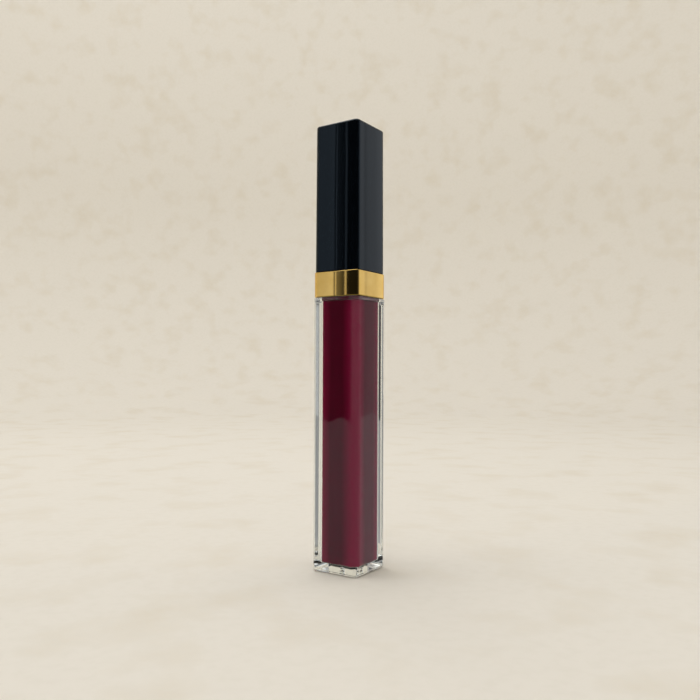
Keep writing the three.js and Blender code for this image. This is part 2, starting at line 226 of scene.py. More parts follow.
def bumped(tree, shader, height, depth):
    """Gives a shader a bump of a height map whose full range is depth, in metres."""
    bump = add_node(tree, "ShaderNodeBump", None, {"Strength": 1.0, "Distance": depth}, Height=height)
    tree.links.new(bump.outputs["Normal"], shader.inputs["Normal"])


def placed(piece, body, node, material):
    """Puts a finished piece on its body, in place of its CAD node, with its finish."""
    piece.data.materials.clear()
    piece.data.materials.append(material)
    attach(piece, body)
    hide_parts(node)
    return piece


BODY_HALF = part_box("bottle_body")[1].x
BODY_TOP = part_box("bottle_body")[1].z
BODY_CORNER = 1.4 * MM
BODY_WALL = 1.75 * MM
BASE_THICKNESS = 2.2 * MM
CAVITY_HALF = BODY_HALF - BODY_WALL
CAVITY_CORNER = 1.2 * MM
REBATE_FLOOR = BODY_TOP - 0.8 * MM
REBATE_HALF = CAVITY_HALF + 0.5 * MM
REBATE_CORNER = CAVITY_CORNER + 0.5 * MM
FOOT_RADIUS = 0.9 * MM
GATE_RADIUS = 0.7 * MM
GATE_DEPTH = 1.0 * MM

acrylic, tree, shader = finish_of(
    "clear_acrylic", Base_Color=srgb("f6faf8"), IOR=1.49, Transmission_Weight=1.0
)
# Polished tool steel gives it a mirror surface; handling leaves fine hazy rubs on it.
roughened(tree, shader, noise(tree, 3 * MM, 6), 0.004, 0.02)
bumped(tree, shader, noise(tree, 9 * MM, 1, (1, 1, 0.35)), 0.006 * MM)

bottle = swept(
    "bottle_body",
    [
        (GATE_RADIUS * 0.4, GATE_DEPTH, GATE_RADIUS * 0.4, 0),
        (GATE_RADIUS, GATE_DEPTH * 0.75, GATE_RADIUS, 0.2 * MM),
        (GATE_RADIUS, 0, GATE_RADIUS, 0.12 * MM),
        (BODY_HALF, 0, BODY_CORNER, FOOT_RADIUS),
        (BODY_HALF, BODY_TOP, BODY_CORNER, 0.2 * MM),
        (REBATE_HALF, BODY_TOP, REBATE_CORNER, 0.1 * MM),
        (REBATE_HALF, REBATE_FLOOR, REBATE_CORNER, 0.04 * MM),
        (CAVITY_HALF, REBATE_FLOOR, CAVITY_CORNER, 0.06 * MM),
        (CAVITY_HALF, BASE_THICKNESS, CAVITY_CORNER, 0.3 * MM),
        (CAVITY_HALF - 1 * MM, BASE_THICKNESS, CAVITY_CORNER * 0.5, 0),
    ],
)
placed(bottle, "bottle", "bottle_body", acrylic)

# ---- Neck insert -------------------------------------------------------------------------------
# A hollow square flange with a hollow round boss and a threaded neck, moulded in the same clear
# acrylic and welded into the bottle's rim. The right-hand thread fades in and out at its ends.

neck_low, neck_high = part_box("neck_insert")
FLANGE_HALF = REBATE_HALF - 0.05 * MM
FLANGE_CORNER = REBATE_CORNER - 0.05 * MM
WEB_BOTTOM = BODY_TOP - 0.25 * MM
BOSS_TOP = BODY_TOP + 1.1 * MM
BOSS_RADIUS = 5.55 * MM
HOLLOW_RADIUS = 4.95 * MM
HOLLOW_TOP = BOSS_TOP - 0.6 * MM
NECK_TOP = neck_high.z
NECK_RADIUS = 4.3 * MM
NECK_BORE = 3.4 * MM
PITCH = 2.5 * MM
TURNS = 1.5
THREAD_DEPTH = 0.45 * MM
THREAD_WIDTH = 1.1 * MM
THREAD_START = BOSS_TOP + 1.2 * MM
THREAD_ROWS = 60


def thread_height(angle, z, start):
    """How far a thread stands out at a place on its cylinder, in metres."""
    height = 0.0
    for whole in range(3):
        turns = whole + (angle % (2 * math.pi)) / (2 * math.pi)
        if turns > TURNS:
            continue
        off = abs(z - start - turns * PITCH) / THREAD_WIDTH
        fade = min(1, turns * 8, (TURNS - turns) * 8)
        height = max(height, THREAD_DEPTH * fade * min(1, max(0, (0.5 - off) * 4)))
    return height


def with_thread(points, root, start, sense):
    """Ring points moved in or out by the thread, where the ring is the threaded wall's."""
    if abs(math.hypot(points[0].x, points[0].y) - root) > 1e-7:
        return points
    moved = []
    for p in points:
        reach = root + sense * thread_height(math.atan2(p.y, p.x), p.z, start)
        moved.append(Vector((p.x / root * reach, p.y / root * reach, p.z)))
    return moved


def threaded_rows(radius, low, high):
    """Outline points up a threaded wall, close enough to carry the thread's flanks."""
    rows = [low + (high - low) * i / THREAD_ROWS for i in range(THREAD_ROWS + 1)]
    return [(radius, z, radius, 0) for z in rows]


def neck_ring(x, z, corner):
    """A section of the neck insert: the square flange's, or the threaded neck's."""
    return with_thread(square_ring(x, z, corner), NECK_RADIUS, THREAD_START, 1)


def axis_value(tree, axis):
    """An object coordinate, X, Y or Z, in metres."""
    place = add_node(tree, "ShaderNodeTexCoord")
    return add_node(tree, "ShaderNodeSeparateXYZ", Vector=place.outputs["Object"]).outputs[axis]


def blended(tree, one, two, share):
    """A colour that goes from one sRGB hex value to another as share goes from 0 to 1."""
    return add_node(
        tree,
        "ShaderNodeMix",
        {"data_type": "RGBA"},
        {"A": srgb(one), "B": srgb(two)},
        Factor=share,
    ).outputs["Result"]


neck = swept(
    "neck_insert",
    [
        (CAVITY_HALF, neck_low.z, CAVITY_CORNER, 0.05 * MM),
        (FLANGE_HALF, neck_low.z, FLANGE_CORNER, 0.05 * MM),
        (FLANGE_HALF, BODY_TOP, FLANGE_CORNER, 0.05 * MM),
        (BOSS_RADIUS, BODY_TOP, BOSS_RADIUS, 0.02 * MM),
        (BOSS_RADIUS, BOSS_TOP, BOSS_RADIUS, 0.15 * MM),
        (NECK_RADIUS, BOSS_TOP, NECK_RADIUS, 0.1 * MM),
        *threaded_rows(NECK_RADIUS, BOSS_TOP + 0.3 * MM, NECK_TOP - 2.5 * MM),
        (NECK_RADIUS, NECK_TOP, NECK_RADIUS, 0.2 * MM),
        (NECK_BORE, NECK_TOP, NECK_BORE, 0.1 * MM),
        (NECK_BORE, HOLLOW_TOP, NECK_BORE, 0.1 * MM),
        (HOLLOW_RADIUS, HOLLOW_TOP, HOLLOW_RADIUS, 0.15 * MM),
        (HOLLOW_RADIUS, WEB_BOTTOM, HOLLOW_RADIUS, 0.04 * MM),
        (CAVITY_HALF, WEB_BOTTOM, CAVITY_CORNER, 0.04 * MM),
    ],
    ring=neck_ring,
    closed=True,
)
wet_acrylic, tree, shader = finish_of("acrylic_wet_with_gloss", IOR=1.49)
# Below the rim the gloss has crept round the flange and coats it; the neck above stays clear.
clear = ranged(tree, axis_value(tree, "Z"), 0, 1, BODY_TOP - 0.04 * MM, BODY_TOP + 0.02 * MM)
tree.links.new(blended(tree, "98103e", "f6faf8", clear), shader.inputs["Base Color"])
tree.links.new(clear, shader.inputs["Transmission Weight"])
roughened(tree, shader, noise(tree, 3 * MM, 6), 0.004, 0.02)
bumped(tree, shader, noise(tree, 2 * MM, 2), 0.004 * MM)
placed(neck, "bottle", "neck_insert", wet_acrylic)

# ---- Wiper -------------------------------------------------------------------------------------
# A soft plug of natural polyethylene pressed into the neck. Its funnel ends in a thin lip that
# strips the wand, and gloss stains that lip. The flange on the neck's rim is what the cap seals on.

wiper_low, wiper_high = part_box("wiper")
WIPER_RADIUS = NECK_BORE - 0.05 * MM
WIPER_BORE = 2.8 * MM
ORIFICE = 2.15 * MM
LIP_TOP = wiper_low.z + 2 * MM
LIP_THICKNESS = 0.35 * MM
FLANGE = wiper_high.x
FLANGE_BOTTOM = wiper_high.z - 0.5 * MM

CRIMSON_STAIN = "6d0b20"


def stained(tree, clean, reach_from, reach_to, stain=CRIMSON_STAIN):
    """A colour that goes from a gloss stain to the clean colour over a distance from the axis."""
    place = add_node(tree, "ShaderNodeTexCoord")
    flat = add_node(
        tree,
        "ShaderNodeVectorMath",
        {"operation": "MULTIPLY"},
        {1: (1, 1, 0)},
        i0=place.outputs["Object"],
    )
    reach = add_node(tree, "ShaderNodeVectorMath", {"operation": "LENGTH"}, i0=flat.outputs["Vector"])
    blot = noise(tree, 1.2 * MM, 3)
    uneven = add_node(
        tree,
        "ShaderNodeMath",
        {"operation": "MULTIPLY_ADD"},
        {1: 0.8 * MM},
        i0=blot,
        i2=reach.outputs["Value"],
    )
    return blended(tree, stain, clean, ranged(tree, uneven.outputs["Value"], 0, 1, reach_from, reach_to))


# Moulded soft and unpigmented, it is milky, and the gloss it strips has stained its lip.
polyethylene, tree, shader = finish_of(
    "natural_polyethylene", Roughness=0.42, IOR=1.51, Subsurface_Weight=0.4, Subsurface_Scale=0.6 * MM
)
tree.links.new(stained(tree, "dfe3df", 2.7 * MM, 3.4 * MM), shader.inputs["Base Color"])
bumped(tree, shader, noise(tree, 0.35 * MM, 3), 0.004 * MM)

wiper = swept(
    "wiper",
    [
        (ORIFICE, wiper_low.z, 0, 0.08 * MM),
        (ORIFICE + LIP_THICKNESS, wiper_low.z, 0, 0.08 * MM),
        (WIPER_RADIUS, LIP_TOP, 0, 0.5 * MM),
        (WIPER_RADIUS, FLANGE_BOTTOM, 0, 0.05 * MM),
        (FLANGE, FLANGE_BOTTOM, 0, 0.12 * MM),
        (FLANGE, wiper_high.z, 0, 0.15 * MM),
        (WIPER_BORE, wiper_high.z, 0, 0.25 * MM),
        (WIPER_BORE, LIP_TOP, 0, 0.6 * MM),
    ],
    ring=round_ring,
    closed=True,
)
placed(wiper, "bottle", "wiper", polyethylene)

# ---- Gloss -------------------------------------------------------------------------------------
# Crimson lip gloss, a thick pigmented oil. It stands a hair off the acrylic, whose heavy walls and
# base then carry light round it, so that they look clear and pale beside it and under it.

FILL_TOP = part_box("gloss_fill")[1].z
FILL_SHOULDER = WEB_BOTTOM - 0.1 * MM
OFF_WALL = 0.05 * MM
WELL_RADIUS = 2.35 * MM
WELL_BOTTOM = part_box("applicator_flock")[0].z - 1 * MM

# Fine pigment in thick oil: opaque, and seen through the wall, so it has no shine of its own.
crimson, tree, shader = finish_of("crimson_gloss", Roughness=0.3, IOR=1.47, Specular_IOR_Level=0.0)
# Painted shade and light: darker mid-face for the wand's shadow, lighter edges for light through the
# walls.
place = add_node(tree, "ShaderNodeTexCoord")
spread = add_node(tree, "ShaderNodeVectorMath", {"operation": "ABSOLUTE"}, i0=place.outputs["Object"])
axes = add_node(tree, "ShaderNodeSeparateXYZ", Vector=spread.outputs["Vector"])
off_middle = add_node(
    tree, "ShaderNodeMath", {"operation": "MINIMUM"}, i0=axes.outputs["X"], i1=axes.outputs["Y"]
)
wavering = add_node(
    tree,
    "ShaderNodeMath",
    {"operation": "MULTIPLY_ADD"},
    {1: 1.2 * MM},
    i0=noise(tree, 4 * MM, 2, (1, 1, 0.15)),
    i2=off_middle.outputs["Value"],
)
# depth goes from 0 mid-face (painted shade) to 1 at the face's edges (painted light).
depth = ranged(tree, wavering.outputs["Value"], 0, 1, 2.4 * MM, 4.6 * MM)
swirl = noise(tree, 3 * MM, 4, (1, 1, 0.25))
# Dark crimsons for the painted shade, bright ones for the painted light; the swirl within each pair is
# random tone.
shade = add_node(
    tree,
    "ShaderNodeMix",
    {"data_type": "RGBA"},
    Factor=depth,
    A=blended(tree, "800b32", "910e3b", swirl),
    B=blended(tree, "c11552", "cf1e5c", swirl),
)
tree.links.new(shade.outputs["Result"], shader.inputs["Base Color"])

gloss = swept(
    "gloss_fill",
    [
        (WELL_RADIUS * 0.5, WELL_BOTTOM, WELL_RADIUS * 0.5, 0),
        (WELL_RADIUS, WELL_BOTTOM, WELL_RADIUS, 0.8 * MM),
        (WELL_RADIUS, FILL_TOP, WELL_RADIUS, 0.15 * MM),
        (HOLLOW_RADIUS - OFF_WALL, FILL_TOP, HOLLOW_RADIUS - OFF_WALL, 0.1 * MM),
        (HOLLOW_RADIUS - OFF_WALL, FILL_SHOULDER, HOLLOW_RADIUS - OFF_WALL, 0.02 * MM),
        (CAVITY_HALF - OFF_WALL, FILL_SHOULDER, CAVITY_CORNER - OFF_WALL, 0.05 * MM),
        (CAVITY_HALF - OFF_WALL, BASE_THICKNESS + OFF_WALL, CAVITY_CORNER - OFF_WALL, 0.3 * MM),
        (CAVITY_HALF - 1 * MM, BASE_THICKNESS + OFF_WALL, CAVITY_CORNER * 0.5, 0),
    ],
)
placed(gloss, "bottle", "gloss_fill", crimson)

# ---- Collar ------------------------------------------------------------------------------------
# A bright gold band drawn from thin brass strip, polished and lacquered, and rolled in under the
# cap's skirt. Its faces swell slightly, so they mirror a wide sweep of the room.

collar_low, collar_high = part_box("collar_band")
COLLAR_HALF = collar_high.x
COLLAR_CORNER = 1.5 * MM
COLLAR_WALL = 0.45 * MM
COLLAR_LIP = 0.3 * MM
COLLAR_LIP_REACH = 0.4 * MM
COLLAR_EDGE = 0.18 * MM
COLLAR_BOW = 0.02 * MM

# Buffed round the band and lacquered, it mirrors sharply, with a faint level grain.
gold, tree, shader = finish_of("polished_gold_brass", Metallic=1.0)
tint = blended(tree, "e2ba66", "edc878", ranged(tree, noise(tree, 4 * MM, 4), 0, 1))
tree.links.new(tint, shader.inputs["Base Color"])
roughened(tree, shader, noise(tree, 0.6 * MM, 5, (1, 1, 6)), 0.01, 0.03)
bumped(tree, shader, noise(tree, 0.5 * MM, 3, (0.3, 0.3, 3)), 0.0003 * MM)


def collar_ring(x, z, corner):
    """A section of the collar, whose outer faces swell."""
    return square_ring(x, z, corner, COLLAR_BOW if x > COLLAR_HALF - COLLAR_WALL / 2 else 0)


collar_inner = COLLAR_HALF - COLLAR_WALL
collar_inner_corner = COLLAR_CORNER - COLLAR_WALL
collar_mouth = collar_inner - COLLAR_LIP_REACH
collar = swept(
    "collar_band",
    [
        (collar_mouth, collar_low.z, collar_inner_corner - COLLAR_LIP_REACH, 0.08 * MM),
        (COLLAR_HALF, collar_low.z, COLLAR_CORNER, COLLAR_EDGE),
        (COLLAR_HALF, collar_high.z, COLLAR_CORNER, COLLAR_EDGE),
        (collar_inner, collar_high.z, collar_inner_corner, 0.08 * MM),
        (collar_inner, collar_low.z + COLLAR_LIP, collar_inner_corner, 0.08 * MM),
        (collar_mouth, collar_low.z + COLLAR_LIP, collar_inner_corner - COLLAR_LIP_REACH, 0.08 * MM),
    ],
    ring=collar_ring,
    closed=True,
)
placed(collar, "cap", "collar_band", gold)

# ---- Cap shell ---------------------------------------------------------------------------------
# A tall square cap moulded in black ABS in a polished tool, so its faces are near mirrors with a
# slight swell. It steps in at the foot for the collar, and is hollow.

shell_low, shell_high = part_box("cap_shell")
CAP_HALF = shell_high.x
CAP_TOP_HALF = CAP_HALF - 0.125 * MM
CAP_CORNER = 1.4 * MM
CAP_TOP_RADIUS = 0.5 * MM
SKIRT_HALF = COLLAR_HALF - COLLAR_WALL - 0.1 * MM
SKIRT_CORNER = COLLAR_CORNER - COLLAR_WALL - 0.1 * MM
SHELL_STEP = collar_high.z + 0.1 * MM
SHELL_INNER_HALF = 5.85 * MM
SHELL_CEILING = shell_high.z - 1.7 * MM
CAP_BOW = 0.02 * MM

# Pigmented through and moulded against polished steel, it is deep black under a cool, sharp sheen.
black_abs, tree, shader = finish_of(
    "black_abs",
    Base_Color=srgb("04070c"),
    IOR=1.5,
    Specular_IOR_Level=0.3,
    Specular_Tint=srgb("c2e2ff"),
)
roughened(tree, shader, noise(tree, 2.5 * MM, 6), 0.008, 0.025)
bumped(tree, shader, noise(tree, 7 * MM, 2, (1, 1, 0.3)), 0.004 * MM)


def joined(name, parts):
    """One piece of closed parts that reach into each other."""
    mesh = bmesh.new()
    for part in parts:
        mesh.from_mesh(part.data)
        bpy.data.objects.remove(part)
    return finished(name, mesh)


def slab(name, low, high, turn):
    """A closed box between two corners, then turned about the axis, with its edges eased."""
    mesh = bmesh.new()
    bmesh.ops.create_cube(mesh, size=1)
    size, middle = high - low, (high + low) / 2
    for v in mesh.verts:
        v.co = Matrix.Rotation(turn, 3, "Z") @ (Vector(a * b for a, b in zip(v.co, size)) + middle)
    bmesh.ops.bevel(
        mesh,
        geom=mesh.edges[:],
        offset=0.08 * MM,
        segments=2,
        affect="EDGES",
        profile=0.5,
        clamp_overlap=True,
    )
    return finished(name, mesh)


def shell_ring(x, z, corner):
    """A section of the cap, whose outer faces swell."""
    return square_ring(x, z, corner, CAP_BOW if x > SKIRT_HALF else 0)


shell = swept(
    "shell",
    [
        (CAP_TOP_HALF * 0.5, shell_high.z, CAP_CORNER * 0.6, 0),
        (CAP_TOP_HALF, shell_high.z, CAP_CORNER, CAP_TOP_RADIUS),
        (CAP_HALF, SHELL_STEP, CAP_CORNER, 0.08 * MM),
        (SKIRT_HALF, SHELL_STEP, SKIRT_CORNER, 0.05 * MM),
        (SKIRT_HALF, shell_low.z, SKIRT_CORNER, 0.12 * MM),
        (SHELL_INNER_HALF, shell_low.z, 0.6 * MM, 0.08 * MM),
        (SHELL_INNER_HALF, SHELL_CEILING, 0.6 * MM, 0.3 * MM),
        (SHELL_INNER_HALF * 0.5, SHELL_CEILING, 0.5 * MM, 0),
    ],
    ring=shell_ring,
)
POST_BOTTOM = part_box("cap_weight")[1].z + 0.1 * MM
POST_RADIUS = 2.4 * MM
POST_BORE = 1.6 * MM
FIN_REACH = 4.6 * MM
FIN_HALF = 0.4 * MM
post_top = SHELL_CEILING + 0.3 * MM
post = swept(
    "post",
    [
        (POST_BORE, POST_BOTTOM, 0, 0.08 * MM),
        (POST_RADIUS, POST_BOTTOM, 0, 0.08 * MM),
        (POST_RADIUS, post_top, 0, 0),
        (POST_BORE, post_top, 0, 0),
    ],
    ring=round_ring,
    closed=True,
)
fin_ends = (Vector((2 * MM, -FIN_HALF, POST_BOTTOM)), Vector((FIN_REACH, FIN_HALF, post_top)))
fins = [slab("fin", *fin_ends, step * math.pi / 2) for step in range(4)]
placed(joined("cap_shell", [shell, post, *fins]), "cap", "cap_shell", black_abs)

# ---- Cap liner ---------------------------------------------------------------------------------
# The inner cap, moulded in natural polypropylene. Below its ceiling is the thread for the neck,
# above it the socket for the stem and the cup for the weight, and its ribs fit the shell's corners.

liner_low, liner_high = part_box("cap_liner")
LINER_RADIUS = 5.75 * MM
LINER_BORE = 5.35 * MM
LINER_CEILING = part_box("seal_washer")[1].z + 0.1 * MM
LINER_FLOOR = LINER_CEILING + 1.6 * MM
SOCKET_TOP = LINER_FLOOR + 6 * MM
SOCKET_RADIUS = 3.0 * MM
SOCKET_BORE = 1.75 * MM
CUP_BORE = 5.2 * MM
RIB_REACH = 7.6 * MM
RIB_HALF = 0.5 * MM

# Moulded unpigmented in a plain tool, it is milky and faintly grained, and stained near the wand.
polypropylene, tree, shader = finish_of(
    "natural_polypropylene", Roughness=0.38, IOR=1.49, Subsurface_Weight=0.3, Subsurface_Scale=0.8 * MM
)
tree.links.new(stained(tree, "e3e4e0", 1.6 * MM, 2.4 * MM), shader.inputs["Base Color"])
bumped(tree, shader, noise(tree, 0.4 * MM, 3), 0.003 * MM)


def liner_ring(x, z, corner):
    """A section of the liner, whose bore carries the female thread."""
    return with_thread(round_ring(x, z, corner), LINER_BORE, THREAD_START + PITCH / 2, -1)


parts = [
    swept(
        "liner_body",
        [
            (SOCKET_BORE, LINER_CEILING, 0, 0.1 * MM),
            (SOCKET_BORE, SOCKET_TOP, 0, 0.2 * MM),
            (SOCKET_RADIUS, SOCKET_TOP, 0, 0.15 * MM),
            (SOCKET_RADIUS, LINER_FLOOR, 0, 0.3 * MM),
            (CUP_BORE, LINER_FLOOR, 0, 0.2 * MM),
            (CUP_BORE, liner_high.z, 0, 0.15 * MM),
            (LINER_RADIUS, liner_high.z, 0, 0.15 * MM),
            (LINER_RADIUS, liner_low.z, 0, 0.08 * MM),
            (LINER_BORE + 0.2 * MM, liner_low.z, 0, 0.05 * MM),
            *threaded_rows(LINER_BORE, liner_low.z + 0.3 * MM, LINER_CEILING - 1.5 * MM),
            (LINER_BORE, LINER_CEILING, 0, 0.2 * MM),
        ],
        ring=liner_ring,
        closed=True,
    )
]
for step in range(4):
    parts.append(
        slab(
            "rib",
            Vector((LINER_RADIUS - 0.2 * MM, -RIB_HALF, liner_low.z + 0.02 * MM)),
            Vector((RIB_REACH, RIB_HALF, LINER_FLOOR)),
            math.pi / 4 + step * math.pi / 2,
        )
    )
placed(joined("cap_liner", parts), "cap", "cap_liner", polypropylene)

# ---- Seal and weight ---------------------------------------------------------------------------
# A washer punched from closed-cell polyethylene foam, and a turned steel slug with a zinc plate
# that lies in the liner's cup and makes the cap feel heavy.

seal_low, seal_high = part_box("seal_washer")
SEAL_INNER = 2.75 * MM

# Cut from blown sheet, it is matt, with fine open cells, and stained on its inner edge.
foam, tree, shader = finish_of("polyethylene_foam", Roughness=0.75, Subsurface_Weight=0.2)
tree.links.new(stained(tree, "e9e8e3", 2.9 * MM, 3.5 * MM), shader.inputs["Base Color"])
cells = noise(tree, 0.12 * MM, 1)
bumped(tree, shader, cells, 0.02 * MM)

seal = swept(
    "seal_washer",
    [
        (SEAL_INNER, seal_low.z, 0, 0.1 * MM),
        (seal_high.x, seal_low.z, 0, 0.12 * MM),
        (seal_high.x, seal_high.z, 0, 0.12 * MM),
        (SEAL_INNER, seal_high.z, 0, 0.1 * MM),
    ],
    ring=round_ring,
    closed=True,
)
placed(seal, "seal", "seal_washer", foam)

weight_low, weight_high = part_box("cap_weight")
WEIGHT_RADIUS = weight_high.x

# Turned and then plated, it has fine level tool marks under a patchy blue-grey plate.
zinc, tree, shader = finish_of("zinc_plated_steel", Metallic=1.0)
plate = blended(tree, "a9adb0", "bfc3c4", ranged(tree, noise(tree, 1.5 * MM, 5), 0, 1))
tree.links.new(plate, shader.inputs["Base Color"])
turning = noise(tree, 0.15 * MM, 2, (0.02, 0.02, 1))
roughened(tree, shader, turning, 0.25, 0.42)
bumped(tree, shader, turning, 0.002 * MM)

weight = swept(
    "cap_weight",
    [
        (0.6 * MM, weight_low.z + 0.3 * MM, 0, 0),
        (0.9 * MM, weight_low.z, 0, 0.05 * MM),
        (WEIGHT_RADIUS - 0.4 * MM, weight_low.z, 0, 0.1 * MM),
        (WEIGHT_RADIUS, weight_low.z + 0.4 * MM, 0, 0.1 * MM),
        (WEIGHT_RADIUS, weight_high.z - 0.4 * MM, 0, 0.1 * MM),
        (WEIGHT_RADIUS - 0.4 * MM, weight_high.z, 0, 0.1 * MM),
        (0.9 * MM, weight_high.z, 0, 0.05 * MM),
        (0.6 * MM, weight_high.z - 0.3 * MM, 0, 0),
    ],
    ring=round_ring,
)
placed(weight, "cap", "cap_weight", zinc)

# ---- Wand stem ---------------------------------------------------------------------------------
# A slim rod moulded in black polypropylene. Its flange stops against the liner's ceiling and its
# barbs bite in the socket. Below the wiper a thin uneven film of gloss is left on it.

stem_low, stem_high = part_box("wand_stem")
STEM_RADIUS = 1.7 * MM
STEM_FLANGE = stem_high.x
FLANGE_TOP = LINER_CEILING - 0.05 * MM
FLANGE_THICKNESS = 0.75 * MM
SHANK_BORE = 0.95 * MM
SHANK_TOP = stem_low.z + 5.1 * MM
BARB = 0.9 * MM
BARB_WAIST = STEM_RADIUS - 0.12 * MM
FILM_FROM = 22 * MM
FILM_TO = 46 * MM

# Moulded smooth and black; where the wand dips, gloss clings to it in long uneven runs.
filmed, tree, shader = finish_of("black_polypropylene_with_gloss", IOR=1.49, Coat_Weight=0.6)
drips = add_node(
    tree,
    "ShaderNodeMath",
    {"operation": "MULTIPLY_ADD"},
    {1: -30 * MM},
    i0=noise(tree, 1.6 * MM, 4, (1, 1, 0.15)),
    i2=axis_value(tree, "Z"),
)
film = ranged(tree, drips.outputs["Value"], 0, 1, FILM_FROM, FILM_TO)
tree.links.new(blended(tree, "5a0a1c", "0a0a0c", film), shader.inputs["Base Color"])
roughened(tree, shader, drips.outputs["Value"], 0.08, 0.3, FILM_FROM, FILM_TO)
bumped(tree, shader, noise(tree, 1.6 * MM, 4, (1, 1, 0.15)), 0.02 * MM)

barbs = []
z = LINER_FLOOR + BARB
while z < stem_high.z - BARB:
    barbs += [(BARB_WAIST, z, 0, 0), (STEM_RADIUS, z, 0, 0.03 * MM), (STEM_RADIUS, z + BARB, 0, 0)]
    z += 2 * BARB
stem = swept(
    "wand_stem",
    [
        (SHANK_BORE * 0.5, SHANK_TOP, 0, 0),
        (SHANK_BORE, SHANK_TOP, 0, 0.1 * MM),
        (SHANK_BORE, stem_low.z, 0, 0.06 * MM),
        (STEM_RADIUS, stem_low.z, 0, 0.25 * MM),
        (STEM_RADIUS, FLANGE_TOP - FLANGE_THICKNESS, 0, 0.15 * MM),
        (STEM_FLANGE, FLANGE_TOP - FLANGE_THICKNESS, 0, 0.15 * MM),
        (STEM_FLANGE, FLANGE_TOP, 0, 0.1 * MM),
        (STEM_RADIUS, FLANGE_TOP, 0, 0.05 * MM),
        (STEM_RADIUS, LINER_FLOOR, 0, 0),
        *barbs,
        (BARB_WAIST, stem_high.z, 0, 0.2 * MM),
        (BARB_WAIST * 0.5, stem_high.z, 0, 0),
    ],
    ring=round_ring,
)
placed(stem, "cap", "wand_stem", filmed)

# ---- Applicator --------------------------------------------------------------------------------
# A flexible doe-foot moulded in elastomer, with a shank pressed into the stem. Short nylon flock
# is shot onto it in glue, end on, and stands in a dense pile that gloss soaks and mats.

flock_low, flock_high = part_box("applicator_flock")
core_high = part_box("applicator_core")[1]
PADDLE_WIDTH = 4 * MM
PADDLE_DEPTH = 2.7 * MM
FIBRE_LENGTH = 0.28 * MM
FIBRE_RADIUS = 0.018 * MM
FIBRES_PER_SQUARE_MM = 90
SHANK_RADIUS = 0.9 * MM
SHANK_COUNT = 32
FOOT_STEPS = 48
FOOT_COUNT = 64


def smooth(value, start, end):
    """A step from 0 to 1 between start and end, with soft ends."""
    share = min(1, max(0, (value - start) / (end - start)))
    return share * share * (3 - 2 * share)


def foot_ring(share, inset, top):
    """A section of the doe-foot, share of its height up from the tip."""
    bottom = flock_low.z + inset
    dome = math.sqrt(1 - (1 - min(1, share * 3.2 + 0.02)) ** 2)
    slant = 0.55 * (1 - smooth(share, 0, 0.6))
    width = max(0.05 * MM, PADDLE_WIDTH / 2 * dome * (1 - 0.28 * smooth(share, 0.55, 1)) - inset)
    depth = max(0.05 * MM, PADDLE_DEPTH / 2 * dome * (1 - slant * 0.5) - inset)
    height = bottom + share**1.5 * (top - bottom)
    points = []
    for step in range(FOOT_COUNT):
        angle = 2 * math.pi * step / FOOT_COUNT
        shift = slant * PADDLE_DEPTH * 0.25
        points.append(Vector((width * math.cos(angle), depth * math.sin(angle) - shift, height)))
    return points


def foot_rings(inset, top, first=0):
    """Sections of the doe-foot from the tip up, closer together at the tip."""
    return [foot_ring((step / FOOT_STEPS) ** 1.4, inset, top) for step in range(first, FOOT_STEPS + 1)]


def closed_rings(name, rings):
    """A closed piece through rings of points, with a flat face at each end."""
    mesh = bmesh.new()
    rows = [[mesh.verts.new(p) for p in ring] for ring in rings]
    for lower, upper in zip(rows, rows[1:]):
        for j in range(len(lower)):
            k = (j + 1) % len(lower)
            mesh.faces.new((lower[j], lower[k], upper[k], upper[j]))
    mesh.faces.new(rows[0])
    mesh.faces.new(rows[-1])
    return finished(name, mesh)


# Moulded soft and slightly clear, and stained by the gloss that soaks through the flock.
elastomer, tree, shader = finish_of("applicator_elastomer", Roughness=0.5, Subsurface_Weight=0.3)
tree.links.new(stained(tree, "c9c2bd", 0.6 * MM, 1.4 * MM, "8a3d4a"), shader.inputs["Base Color"])
bumped(tree, shader, noise(tree, 0.3 * MM, 2), 0.004 * MM)

core_inset = 0.45 * MM
shank_rings = [
    round_ring(SHANK_RADIUS, z, 0)[:: ROUND_STEPS // SHANK_COUNT]
    for z in (flock_high.z - 0.4 * MM, core_high.z - 0.1 * MM)
]
core = joined(
    "applicator_core",
    [
        closed_rings("foot", foot_rings(core_inset, flock_high.z)),
        closed_rings("shank", shank_rings),
    ],
)
placed(core, "cap", "applicator_core", elastomer)

# Cut nylon soaked in gloss: the fibres mat into darker and lighter clumps with a wet sheen.
flock_nylon, tree, shader = finish_of(
    "nylon_flock_wet_with_gloss", IOR=1.5, Roughness=0.35, Coat_Weight=0.3, Sheen_Weight=0.2
)
pile = blended(tree, "6d0d22", "a02c44", ranged(tree, noise(tree, 0.8 * MM, 4), 0, 1))
tree.links.new(pile, shader.inputs["Base Color"])


